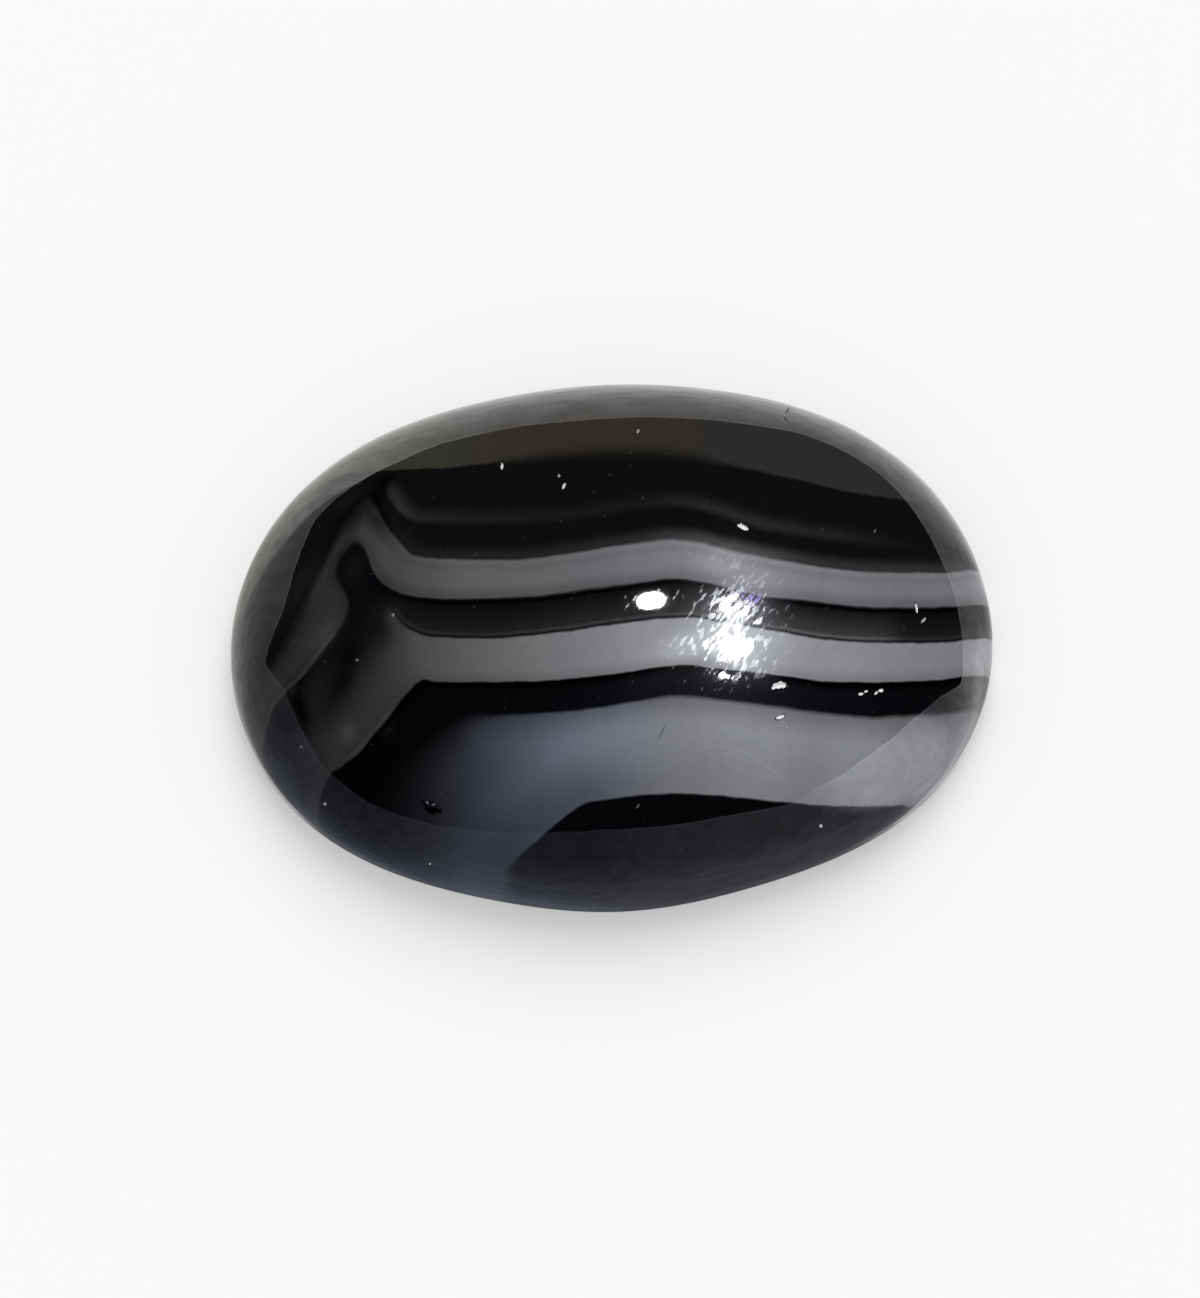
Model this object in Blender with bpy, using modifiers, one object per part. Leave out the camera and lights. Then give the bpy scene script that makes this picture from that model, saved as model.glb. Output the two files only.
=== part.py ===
# Oval cabochon of banded agate: a polished dome over a low girdle, with a flat ground back.
# Run with blender --background --python part.py, or from Blender's text editor.
# Metres, +Z up. The back lies at Z = 0 and the stone's long way runs along X.
import math

import bmesh
import bpy
from mathutils import Matrix, Vector

mm = 0.001

cabochon = {
    "length": 18.0 * mm,        # over the two ends, along X
    "width": 12.9 * mm,         # over the two sides, along Y
    "domeHeight": 4.2 * mm,     # from the girdle up to the top
    "girdleHeight": 0.4 * mm,   # the straight edge between the back and the dome
    "backBevel": 0.15 * mm,     # the eased edge around the back
    "endRatio": 1.423,          # long over short axis of the oval before it is turned
    "turn": math.radians(3.0),  # the cutter's oval stands slightly askew
    # hand grinding leaves the oval a little wavy: waves per turn, then cosine and sine parts
    "waves": ((3, 0.0, 0.0024), (4, -0.0094, -0.0017), (5, 0.0, -0.0039), (6, -0.0070, 0.0)),
    "sides": 96,                # steps around the oval
    "domeSteps": 16,            # steps from the girdle to the top
    "bevelSteps": 2,
}

stoneLook = {
    "color": (0.055, 0.056, 0.060, 1.0),
    "roughness": 0.08,
    "metallic": 0.0,
}


def clearScene():
    for item in list(bpy.data.objects):
        bpy.data.objects.remove(item, do_unlink=True)


def makeCollection(name):
    collection = bpy.data.collections.new(name)
    bpy.context.scene.collection.children.link(collection)
    return collection


def makeMaterial(name, look):
    material = bpy.data.materials.new(name)
    material.use_nodes = True
    shader = material.node_tree.nodes["Principled BSDF"]
    shader.inputs["Base Color"].default_value = look["color"]
    shader.inputs["Roughness"].default_value = look["roughness"]
    shader.inputs["Metallic"].default_value = look["metallic"]
    material.diffuse_color = look["color"]
    return material


# radius of the wavy oval at an angle from its long axis, for a short half axis of 1
def ovalRadius(angle, shape):
    across = math.sin(angle)
    along = math.cos(angle) / shape["endRatio"]
    radius = 1.0 / math.hypot(along, across)
    wave = sum(c * math.cos(n * angle) + s * math.sin(n * angle) for n, c, s in shape["waves"])
    return radius * (1.0 + wave)


# outline point at an angle from X, before it is fitted to the stone's length and width
def ovalPoint(angle, shape):
    radius = ovalRadius(angle - shape["turn"], shape)
    return Vector((radius * math.cos(angle), radius * math.sin(angle), 0.0))


# section from the back's edge over the girdle to the top: a fraction of the oval, then a height
def domeProfile(shape):
    points = [Vector((1.0, 0.0, 0.0))]
    for step in range(shape["domeSteps"] + 1):
        lift = math.radians(90.0) * step / shape["domeSteps"]
        height = shape["girdleHeight"] + shape["domeHeight"] * math.sin(lift)
        points.append(Vector((math.cos(lift), 0.0, height)))
    return points


def revolveProfile(bm, points, sides):
    verts = [bm.verts.new(point) for point in points]
    edges = [bm.edges.new(pair) for pair in zip(verts, verts[1:])]
    bmesh.ops.spin(bm, geom=verts + edges, cent=(0.0, 0.0, 0.0), axis=(0.0, 0.0, 1.0),
                   angle=math.radians(360.0), steps=sides, use_merge=True)
    bmesh.ops.remove_doubles(bm, verts=bm.verts, dist=1e-7)


# moves the revolved rings out to the oval, and fits it to the stone's length and width
def shapeOval(bm, shape):
    for vert in bm.verts:
        fraction = math.hypot(vert.co.x, vert.co.y)
        if fraction > 1e-6:
            oval = ovalPoint(math.atan2(vert.co.y, vert.co.x), shape) * fraction
            vert.co.x = oval.x
            vert.co.y = oval.y
    xs = [vert.co.x for vert in bm.verts]
    ys = [vert.co.y for vert in bm.verts]
    middle = Vector(((min(xs) + max(xs)) / 2, (min(ys) + max(ys)) / 2, 0.0))
    fit = (shape["length"] / (max(xs) - min(xs)), shape["width"] / (max(ys) - min(ys)), 1.0)
    bmesh.ops.translate(bm, verts=bm.verts, vec=-middle)
    bmesh.ops.transform(bm, verts=bm.verts, matrix=Matrix.Diagonal(fit).to_4x4())


def closeBack(bm):
    rim = [edge for edge in bm.edges if edge.is_boundary]
    bmesh.ops.holes_fill(bm, edges=rim)
    bmesh.ops.recalc_face_normals(bm, faces=bm.faces)


def easeBackEdge(stone, shape):
    bevel = stone.modifiers.new("back_bevel", "BEVEL")
    bevel.width = shape["backBevel"]
    bevel.segments = shape["bevelSteps"]
    bevel.limit_method = "ANGLE"
    bevel.angle_limit = math.radians(60.0)


def makeStone(collection, shape, look):
    bm = bmesh.new()
    revolveProfile(bm, domeProfile(shape), shape["sides"])
    shapeOval(bm, shape)
    closeBack(bm)
    mesh = bpy.data.meshes.new("agate_cabochon")
    bm.to_mesh(mesh)
    bm.free()
    mesh.shade_smooth()
    mesh.set_sharp_from_angle(angle=math.radians(35.0))
    stone = bpy.data.objects.new("agate_cabochon", mesh)
    collection.objects.link(stone)
    stone.data.materials.append(makeMaterial("agate", look))
    easeBackEdge(stone, shape)
    return stone


clearScene()
makeStone(makeCollection("banded_agate"), cabochon, stoneLook)
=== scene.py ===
import math

import bmesh
import bpy
import numpy as np
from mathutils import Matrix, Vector
from mathutils.bvhtree import BVHTree


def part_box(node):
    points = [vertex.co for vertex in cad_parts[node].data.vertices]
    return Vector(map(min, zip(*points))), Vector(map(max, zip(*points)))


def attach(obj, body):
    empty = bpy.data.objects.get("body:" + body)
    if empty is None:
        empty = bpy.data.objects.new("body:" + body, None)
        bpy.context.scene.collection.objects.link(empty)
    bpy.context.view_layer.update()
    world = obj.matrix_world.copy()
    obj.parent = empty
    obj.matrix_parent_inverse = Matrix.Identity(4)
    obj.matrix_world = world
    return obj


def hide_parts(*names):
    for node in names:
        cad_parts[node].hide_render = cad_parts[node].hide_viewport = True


# Banded agate cabochon, resting on its flat back on a pale floor.
# The stone repeats the CAD solid's form on a finer mesh. Its bands stand nearly upright in the
# stone, and their edges were read off the photograph, so they are given in its pixels.

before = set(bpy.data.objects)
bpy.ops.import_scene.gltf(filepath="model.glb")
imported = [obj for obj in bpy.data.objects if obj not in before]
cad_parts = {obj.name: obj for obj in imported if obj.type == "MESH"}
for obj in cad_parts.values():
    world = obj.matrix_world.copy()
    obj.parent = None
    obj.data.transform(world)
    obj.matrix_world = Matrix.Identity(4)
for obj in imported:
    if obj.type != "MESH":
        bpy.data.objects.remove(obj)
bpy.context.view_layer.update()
stoneLow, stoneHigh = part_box("agate_cabochon")
mm = 0.001
print("frame loaded, stone", [round(v / mm, 2) for v in stoneHigh - stoneLow], "mm")


# camera: at the photograph's angle, close in, as for a small stone

cameraSetup = {
    "photoWidth": 1200,              # the photograph, in pixels
    "photoHeight": 1298,
    "elevation": math.radians(71.0),
    "distance": 90 * mm,             # from the stone's middle
    "aimHeight": 2.0 * mm,
    "aimPixel": (612.2, 622.5),      # where that middle shows in the photograph
    "pixelsPerMetre": 43030,         # at that distance
    "sensor": 36.0,
    "nearest": 1 * mm,               # nothing is drawn nearer or farther than these two
    "farthest": 10.0,
}


def cameraAxes(setup):
    rise = setup["elevation"]
    back = Vector((0.0, -math.cos(rise), math.sin(rise)))
    right = Vector((1.0, 0.0, 0.0))
    return right, back.cross(right), back


def cameraPlace(setup):
    right, up, back = cameraAxes(setup)
    offRight = (setup["photoWidth"] / 2 - setup["aimPixel"][0]) / setup["pixelsPerMetre"]
    offUp = (setup["aimPixel"][1] - setup["photoHeight"] / 2) / setup["pixelsPerMetre"]
    aim = Vector((0.0, 0.0, setup["aimHeight"])) + right * offRight + up * offUp
    return aim + back * setup["distance"]


def pixelRay(setup, x, y):
    right, up, back = cameraAxes(setup)
    focal = setup["pixelsPerMetre"] * setup["distance"]
    across = (x - setup["photoWidth"] / 2) / focal
    over = (setup["photoHeight"] / 2 - y) / focal
    return (right * across + up * over - back).normalized()


def makeCamera(setup):
    data = bpy.data.cameras.new("camera")
    data.sensor_width = setup["sensor"]
    focal = setup["pixelsPerMetre"] * setup["distance"]
    data.lens = setup["sensor"] * focal / setup["photoHeight"]
    data.clip_start = setup["nearest"]
    data.clip_end = setup["farthest"]
    camera = bpy.data.objects.new("camera", data)
    camera.location = cameraPlace(setup)
    camera.rotation_euler = (math.pi / 2 - setup["elevation"], 0.0, 0.0)
    bpy.context.scene.collection.objects.link(camera)
    bpy.context.scene.camera = camera


makeCamera(cameraSetup)
print("camera placed")


# stone's form: the same oval and dome as the solid, on a finer mesh

stoneForm = {
    "length": stoneHigh.x - stoneLow.x,
    "width": stoneHigh.y - stoneLow.y,
    "height": stoneHigh.z - stoneLow.z,
    "girdleHeight": 0.4 * mm,
    "backBevel": 0.15 * mm,
    "endRatio": 1.423,
    "turn": math.radians(3.0),
    "waves": ((3, 0.0, 0.0024), (4, -0.0094, -0.0017), (5, 0.0, -0.0039), (6, -0.0070, 0.0)),
    "fitSteps": 720,                 # steps around the oval when it is measured
    "cuts": 115,                     # cuts across each side of the starting cube
    "backShare": 0.10,               # share of the lower half that makes the girdle and bevel
}


def ovalRadius(angles, form):
    turned = angles - form["turn"]
    radius = 1.0 / np.hypot(np.cos(turned) / form["endRatio"], np.sin(turned))
    wave = sum(c * np.cos(n * turned) + s * np.sin(n * turned) for n, c, s in form["waves"])
    return radius * (1.0 + wave)


# centre and stretch that bring the oval to the stone's length and width
def ovalFit(form):
    angles = np.linspace(0.0, 2 * math.pi, form["fitSteps"] + 1)
    radius = ovalRadius(angles, form)
    xs = radius * np.cos(angles)
    ys = radius * np.sin(angles)
    middle = ((xs.min() + xs.max()) / 2, (ys.min() + ys.max()) / 2)
    return middle, (form["length"] / np.ptp(xs), form["width"] / np.ptp(ys))


# evens out the cube's rows and rounds it to a ball of radius 1
def roundCube(bm):
    for vert in bm.verts:
        vert.co = Vector(math.tan(c * math.pi / 4) for c in vert.co).normalized()


def meshPoints(bm):
    return np.array([vert.co for vert in bm.verts])


def shapeStone(bm, form):
    ball = meshPoints(bm)
    lift = np.arcsin(np.clip(ball[:, 2], -1.0, 1.0)) / (math.pi / 2)   # -1 at the back, 1 at the top
    angles = np.arctan2(ball[:, 1], ball[:, 0])
    radius = ovalRadius(angles, form)
    (middleX, middleY), (fitX, fitY) = ovalFit(form)
    girdle, bevel = form["girdleHeight"], form["backBevel"]
    share = np.cos(lift * math.pi / 2)
    height = girdle + (form["height"] - girdle) * np.sin(lift * math.pi / 2)
    below = np.clip(-lift / form["backShare"], 0.0, None)              # 0 at the girdle's top
    wallTurn = np.clip(below - 1.0, 0.0, 1.0) * math.pi / 2            # around the bevel
    wall = girdle - (girdle - bevel) * np.clip(below, 0.0, 1.0)
    inset = 1.0 - (1.0 - np.cos(wallTurn)) * bevel / (form["width"] / 2)
    flat = np.clip((-lift - 2 * form["backShare"]) / (1 - 2 * form["backShare"]), 0.0, 1.0)
    lower = lift < 0
    share[lower] = (inset * (1.0 - flat))[lower]
    height[lower] = (wall - bevel * np.sin(wallTurn))[lower]
    xs = (radius * np.cos(angles) * share - middleX * share) * fitX
    ys = (radius * np.sin(angles) * share - middleY * share) * fitY
    for vert, x, y, z in zip(bm.verts, xs, ys, height):
        vert.co = (x, y, max(z, 0.0) + stoneLow.z)


def makeStoneMesh(form):
    bm = bmesh.new()
    bmesh.ops.create_cube(bm, size=2.0)
    bmesh.ops.subdivide_edges(bm, edges=bm.edges, cuts=form["cuts"], use_grid_fill=True)
    roundCube(bm)
    shapeStone(bm, form)
    bmesh.ops.recalc_face_normals(bm, faces=bm.faces)
    return bm


stoneMesh = makeStoneMesh(stoneForm)
print("stone formed,", len(stoneMesh.faces), "faces")


# pits, nicks, cracks and a chip in the polish. an oval is x, y, half length and half width, in the
# photograph's pixels, and the angle up from the right. depth is in millimetres, and paintedGlint is
# the share of pale colour painted into the pit as its glint; its dark ring is painted shade

pits = {
    "nickUpperLeft": {"oval": (502, 466, 4.0, 1.6, 85), "depth": 0.015, "paintedGlint": 0.7},
    "nickUpperMiddle": {"oval": (564, 486, 4.0, 1.6, 60), "depth": 0.015, "paintedGlint": 0.7},
    "speckUpperMiddle": {"oval": (559, 476, 1.8, 1.3, 60), "depth": 0.008, "paintedGlint": 0.4},
    "speckBrown": {"oval": (638, 431, 2.6, 1.6, 60), "depth": 0.01, "paintedGlint": 0.3},
    "nickTopRight": {"oval": (743, 527, 6.2, 2.4, -24), "depth": 0.025, "paintedGlint": 1.0},
    "speckTopRight": {"oval": (875, 531, 2.4, 1.2, 60), "depth": 0.006, "paintedGlint": 0.12},
    "pitLarge": {"oval": (780, 685, 8.0, 3.5, 4), "depth": 0.04, "paintedGlint": 1.0},
    "pitLargeTail": {"oval": (774.5, 687, 3.6, 1.8, 30), "depth": 0.03, "paintedGlint": 1.0},
    "pitBelow": {"oval": (780, 717, 5.4, 2.0, 22), "depth": 0.02, "paintedGlint": 1.0},
    "speckUnderPit": {"oval": (787, 727.5, 1.7, 1.5, 0), "depth": 0.004, "paintedGlint": 0.35},
    "streakUnderPit": {"oval": (783, 725, 9.0, 0.8, 28), "depth": 0.002, "paintedGlint": 0.14},
    "pairLeftLower": {"oval": (861, 694, 3.0, 1.5, 12), "depth": 0.018, "paintedGlint": 1.0},
    "pairLeftUpper": {"oval": (866, 691.4, 2.3, 1.3, 20), "depth": 0.015, "paintedGlint": 0.9},
    "pairRightLower": {"oval": (876, 693.2, 2.4, 1.4, 40), "depth": 0.015, "paintedGlint": 0.9},
    "pairRightUpper": {"oval": (881, 690.3, 2.6, 1.8, 10), "depth": 0.018, "paintedGlint": 1.0},
    "nickRightTall": {"oval": (916.5, 608, 6.2, 1.2, -80), "depth": 0.015, "paintedGlint": 0.8},
    "nickRight": {"oval": (923.5, 620.5, 4.0, 1.6, 48), "depth": 0.015, "paintedGlint": 0.45},
    "speckFold": {"oval": (357, 660, 2.0, 1.5, 0), "depth": 0.006, "paintedGlint": 0.15},
    "speckBand": {"oval": (393, 615, 2.4, 1.3, 60), "depth": 0.006, "paintedGlint": 0.2},
    "speckLeft": {"oval": (301, 747, 2.0, 1.6, 0), "depth": 0.006, "paintedGlint": 0.12},
    "speckLowerLeft": {"oval": (325, 804, 1.6, 1.5, 0), "depth": 0.005, "paintedGlint": 0.45},
    "speckBottom": {"oval": (430, 864, 1.5, 1.4, 0), "depth": 0.005, "paintedGlint": 0.55},
    "markDark": {"oval": (638, 806, 3.2, 1.4, 55), "depth": 0.01, "paintedGlint": 0.1},
    "speckLowerRight": {"oval": (821, 826, 1.8, 1.7, 0), "depth": 0.008, "paintedGlint": 0.75},
    "crack": {"oval": (662, 732, 6.5, 1.0, 64), "depth": 0.003, "paintedGlint": 0.0},
    "rimCrackUpper": {"oval": (787.1, 410.9, 6.0, 1.4, -122), "depth": 0.05, "paintedGlint": 0.0},
    "rimCrackLower": {"oval": (785.3, 420, 4.6, 1.0, -64), "depth": 0.018, "paintedGlint": 0.0},
    "chip": {"oval": (431.3, 808.3, 7.2, 5.0, -6), "depth": 0.022, "paintedGlint": 0.0},
    "chipLeft": {"oval": (425.5, 804.4, 4.5, 2.2, -45), "depth": 0.015, "paintedGlint": 0.0},
    "chipRight": {"oval": (437.5, 809.3, 4.2, 2.4, -45), "depth": 0.015, "paintedGlint": 0.0},
    "chipEdgeLeft": {"oval": (427.3, 802.5, 2.1, 1.1, -45), "depth": 0.002, "paintedGlint": 0.22},
    "chipEdgeRight": {"oval": (433.3, 804.7, 2.2, 1.1, 5), "depth": 0.002, "paintedGlint": 0.24},
}
pitMesh = {
    "reach": 1.35,                   # a pit's mesh is refined out to this many times its size
    "rounds": 3,
    "edgeLength": 0.11 * mm,         # of the mesh before it is refined
    "leastWidth": 0.02 * mm,         # a narrower pit is refined as if it were this wide
    "slope": 1.5,                    # a higher power makes a softer rim
    "shadedDepth": 0.008,            # millimetres: a pit this deep has a fully dark ring
    "farthest": 9.0,                 # greatest distance noted, in times the pit's size
}


def surfacePoint(tree, x, y):
    eye = cameraPlace(cameraSetup)
    ray = pixelRay(cameraSetup, x, y)
    hit = tree.ray_cast(eye, ray)[0]
    if hit is None:                  # beside the stone: level with its girdle
        hit = eye + ray * ((stoneForm["girdleHeight"] - eye.z) / ray.z)
    return hit


# an oval's centre and its long and short half axes, on the stone
def ovalAxes(oval, tree):
    x, y, long, wide, angle = oval
    turn = math.radians(angle)
    centre = surfacePoint(tree, x, y)
    longEnd = surfacePoint(tree, x + long * math.cos(turn), y - long * math.sin(turn))
    wideEnd = surfacePoint(tree, x - wide * math.sin(turn), y - wide * math.cos(turn))
    return centre, longEnd - centre, wideEnd - centre


# how far each point lies from the pit's centre, with 1 at its edge
def pitReach(points, axes):
    centre, longAxis, wideAxis = axes
    upAxis = longAxis.cross(wideAxis).normalized() * longAxis.length
    unskew = np.linalg.inv(np.array((longAxis, wideAxis, upAxis)))
    return np.linalg.norm((points - np.array(centre)) @ unskew, axis=1)


# refines the mesh around all the pits at once
def refinePits(bm, places, settings):
    for step in range(settings["rounds"]):
        points = meshPoints(bm)
        near = np.zeros(len(points), bool)
        for axes in places:
            width = max(axes[2].length, settings["leastWidth"])
            margin = settings["reach"] + settings["edgeLength"] / 2 ** step / width
            near |= pitReach(points, axes) < margin
        close = {vert for vert, isNear in zip(bm.verts, near) if isNear}
        edges = {edge for vert in close for edge in vert.link_edges if edge.other_vert(vert) in close}
        bmesh.ops.subdivide_edges(bm, edges=list(edges), cuts=1, use_grid_fill=True)


def sinkPits(bm, items, places, slope):
    points = meshPoints(bm)
    drops = np.zeros(len(points))
    for pit, axes in zip(items, places):
        bowl = np.clip(1.0 - pitReach(points, axes) ** 2, 0.0, 1.0) ** slope
        drops = np.maximum(drops, pit["depth"] * mm * bowl)
    bm.normal_update()
    moved = [(vert, vert.normal * drop) for vert, drop in zip(bm.verts, drops) if drop > 0]
    for vert, offset in moved:
        vert.co -= offset


stoneTree = BVHTree.FromBMesh(stoneMesh)
pitPlaces = [ovalAxes(pit["oval"], stoneTree) for pit in pits.values()]
refinePits(stoneMesh, pitPlaces, pitMesh)
sinkPits(stoneMesh, pits.values(), pitPlaces, pitMesh["slope"])
print("pits sunk,", len(stoneMesh.faces), "faces")


# bands: each edge runs from the right rim over the fold to the left rim. its points are x, y and
# half the width over which the edge fades, all in pixels; without a third number the fade stays

bandEdges = {
    "brownEdge": (
        (1010, 530, 2), (940, 506), (905, 500), (850, 492), (800, 480), (740, 467, 4), (700, 457, 11),
        (660, 451, 13), (620, 450), (580, 452, 12), (540, 456, 11), (510, 460, 7), (480, 464, 2),
        (440, 468), (380, 471), (330, 480, 3), (285, 530, 4), (255, 590, 5), (225, 650, 6),
    ),
    "stripEdge": (
        (1010, 575, 7), (940, 558), (900, 548, 6), (860, 543, 5), (820, 538), (770, 530), (740, 522),
        (710, 512), (680, 506), (660, 506), (620, 511), (560, 520), (480, 523), (425, 522, 4),
        (410, 519, 3), (399, 512), (391, 501), (384, 494, 4), (370, 487, 5), (330, 478, 6), (225, 470),
    ),
    "greyOneTop": (
        (1010, 567, 2), (975, 571), (945, 573), (900, 573), (850, 571), (800, 564), (740, 553, 3),
        (700, 543), (670, 540), (640, 543), (600, 549, 2), (540, 558), (500, 560), (440, 559),
        (416, 556), (409, 553), (396, 538), (387, 527), (379, 513), (373, 503, 4), (368, 501, 7),
        (357, 512, 9), (344, 530), (333, 550, 5), (322, 572), (312, 592, 6), (302, 620, 13),
        (286, 650, 11), (262, 690, 12), (240, 760),
    ),
    "greyOneBottom": (
        (1010, 602, 2), (980, 605), (950, 607), (900, 608), (850, 606), (800, 600), (760, 596),
        (720, 586), (690, 580), (670, 579), (640, 583), (600, 588, 3), (540, 596, 2), (480, 599),
        (440, 599, 1.5), (416, 597), (402, 594), (389, 588), (376, 577), (370, 564), (366, 552, 2),
        (360, 545, 4), (354, 543, 5), (343, 554), (337, 567, 4), (338, 581), (346.5, 594, 3),
        (348.5, 604), (346.5, 615), (342, 625, 2), (332, 640), (317, 660), (302, 678), (290, 690),
        (275, 707), (267, 732, 3), (263, 760, 4), (264, 800, 5),
    ),
    "greyTwoTop": (
        (1010, 635, 1.5), (985, 639), (940, 643), (870, 643), (820, 639), (780, 632), (720, 622),
        (690, 618), (660, 619), (620, 624), (560, 632.5), (500, 638.5), (460, 638.5), (439, 637.5),
        (424, 635.5), (411, 630.5, 2), (401, 624, 3), (393, 614, 4), (388, 613, 7), (388, 628, 11),
        (379, 650, 20), (362, 680), (346, 712), (332, 745, 16), (318, 775, 12), (308, 810, 10),
        (300, 850),
    ),
    "greyTwoBottom": (
        (1010, 673, 1.3), (985, 677), (940, 680), (880, 682.5), (850, 682), (820, 681), (760, 673),
        (720, 669), (690, 665), (660, 667), (620, 673), (560, 680), (500, 682), (440, 682),
        (424, 680, 1.5), (413, 687), (398, 704), (388, 719), (375, 734), (360, 752), (344, 765),
        (333, 773), (326, 782, 2), (322, 793), (320, 808, 3), (322, 830, 5), (330, 870, 7),
    ),
    "greyThreeTop": (
        (1010, 707, 3), (975, 711), (940, 715), (880, 718), (850, 716.5), (820, 713.5), (780, 708),
        (740, 703), (697, 698), (670, 697), (640, 701, 2), (600, 708), (560, 713), (510, 716, 3),
        (488, 718, 6), (470, 724, 12), (452, 738, 17), (434, 752, 20), (412, 774, 22), (392, 798),
        (370, 832, 20), (345, 880),
    ),
    "greyThreeBottom": (
        (1010, 745, 1.3), (960, 775), (918, 805), (914, 806), (905, 806.5), (880, 806.5), (850, 806.5),
        (820, 805.5), (790, 803), (760, 800), (700, 794.5), (670, 793.5), (640, 795.5), (600, 800.5),
        (584, 804, 1.5), (571, 812), (560, 821), (548, 831), (538, 840), (529, 848, 2), (519, 857, 3),
        (512, 866, 5), (509, 876, 8), (508, 890, 12), (508, 910, 14),
    ),
    "crescent": (
        (640, 800, 2), (680, 760), (704, 750), (720, 748), (743, 753), (759, 763), (777, 775),
        (800, 800),
    ),
}
bandLay = {
    "lean": (0.05, 0.14),            # how far the bands shift in x and y for each step below the dome
    "leanStart": 0.1 * mm,           # so far under the dome the shift begins
    "smoothSteps": 6,                # steps of the curve between two read points
    "pixel": 1.0 / cameraSetup["pixelsPerMetre"],
}

# soft patches of paler or darker stone, as ovals.
# amount is what a pale patch adds, or the share of the light a dark patch takes away
clouds = {
    "besideFold": {"oval": (304, 585, 42, 13, 62), "amount": 0.0045},
    "underBlob": {"oval": (314, 692, 34, 13, 75), "amount": 0.0052},
    "lowerFold": {"oval": (322, 742, 32, 20, 70), "amount": 0.015},
    "palePatch": {"oval": (348, 732, 9, 8, 60), "amount": 0.021},
    "faintPatch": {"oval": (388, 730, 8, 4, 50), "amount": 0.005},
    "foldTick": {"oval": (293, 690, 5, 3, 60), "amount": 0.015},
    "wedge": {"oval": (302, 711, 21, 7, -58), "amount": -0.92},
    "coreUpper": {"oval": (350, 655, 16, 8, 70), "amount": -0.55},
    "coreLower": {"oval": (343, 683, 17, 9, 70), "amount": -0.55},
    "notch": {"oval": (374, 596, 22, 11, 60), "amount": -0.35},
    "tip": {"oval": (376, 500, 10, 6, 20), "amount": -0.7},
    "noseTop": {"oval": (378, 520, 25, 15, -60), "amount": -0.72},
    "flank": {"oval": (386, 634, 16, 12, 70), "amount": -0.38},
    "limbLower": {"oval": (326, 636, 24, 9, 58), "amount": 0.016},
    "limbUpper": {"oval": (357, 514, 27, 13, 60), "amount": -0.66},
    "foldBlack": {"oval": (355, 568, 22, 10, 70), "amount": 0.0024},
    "aboveFold": {"oval": (350, 500, 20, 8, 32), "amount": 0.0028},
    "stripTip": {"oval": (384, 482, 10, 9, 0), "amount": -0.85},
    "facet": {"oval": (764, 772, 15, 7, 0), "amount": 0.012},
    "fourthSmudge": {"oval": (560, 716, 40, 4, 3), "amount": -0.12},
}
cloudFall = 1.2                      # how fast a patch fades outwards

# where the polish is left a little rough, so that the lamps sparkle in it; negative is smooth again
grainPatches = {
    "sparkle": {"oval": (734, 634, 50, 28, 84), "amount": 1.0},
    "around": {"oval": (740, 618, 74, 48, 80), "amount": 0.66},
    "left": {"oval": (694, 643, 40, 20, 25), "amount": 0.62},
    "upper": {"oval": (728, 562, 36, 20, 0), "amount": 0.6},
    "lower": {"oval": (750, 668, 34, 16, -20), "amount": 0.6},
    "calmLow": {"oval": (725.5, 675.5, 11, 9, 0), "amount": -0.95},
    "calmGlint": {"oval": (652, 601, 24, 18, 0), "amount": -0.95},
}

# smooth curve through the points, with the fade carried along
def smoothCurve(points, steps):
    points = np.array(points, float)
    padded = np.vstack((2 * points[0] - points[1], points, 2 * points[-1] - points[-2]))
    parts = np.linspace(0.0, 1.0, steps, endpoint=False)[:, None]
    curve = []
    for a, b, c, d in zip(padded, padded[1:], padded[2:], padded[3:]):
        curve.append(0.5 * (2 * b + (c - a) * parts + (2 * a - 5 * b + 4 * c - d) * parts ** 2
                            + (3 * b - a - 3 * c + d) * parts ** 3))
    return np.vstack(curve + [points[-1:]])


# an edge's curve on the stone's plan, in metres
def edgeOnPlan(points, tree):
    plan = []
    for x, y, *newFade in points:
        fade = newFade[0] if newFade else fade
        hit = surfacePoint(tree, x, y)
        plan.append((hit.x, hit.y, fade * bandLay["pixel"]))
    return smoothCurve(plan, bandLay["smoothSteps"])


# distance of each plan point from the curve, in pixels: positive to the left of the curve
# as it runs, which is below a band's edge. The edge's fade there comes second
def edgeDistance(plan, curve):
    start, end = curve[:-1, :2], curve[1:, :2]
    run = end - start
    length = np.maximum(np.linalg.norm(run, axis=1), 1e-9)
    side = np.stack((-run[:, 1], run[:, 0]), axis=1) / length[:, None]
    corner = np.vstack((side[:1], side[:-1] + side[1:], side[-1:]))
    distance, fade = np.empty(len(plan)), np.empty(len(plan))
    blockSize = 4000                 # points at a time, to spare memory
    for first in range(0, len(plan), blockSize):
        block = slice(first, first + blockSize)
        offsetX = plan[block, 0, None] - start[:, 0]
        offsetY = plan[block, 1, None] - start[:, 1]
        along = np.clip((offsetX * run[:, 0] + offsetY * run[:, 1]) / length ** 2, 0.0, 1.0)
        gapX = offsetX - along * run[:, 0]
        gapY = offsetY - along * run[:, 1]
        nearest = (gapX ** 2 + gapY ** 2).argmin(1)
        rows = np.arange(len(nearest))
        part = along[rows, nearest]
        awayX, awayY = gapX[rows, nearest], gapY[rows, nearest]
        normal = side[nearest]
        normal = np.where((part <= 0)[:, None], corner[nearest], normal)
        normal = np.where((part >= 1)[:, None], corner[nearest + 1], normal)
        sign = np.where(awayX * normal[:, 0] + awayY * normal[:, 1] >= 0, 1.0, -1.0)
        distance[block] = sign * np.hypot(awayX, awayY)
        fade[block] = curve[nearest, 2] * (1 - part) + curve[nearest + 1, 2] * part
    return distance / bandLay["pixel"], fade / bandLay["pixel"]


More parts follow.
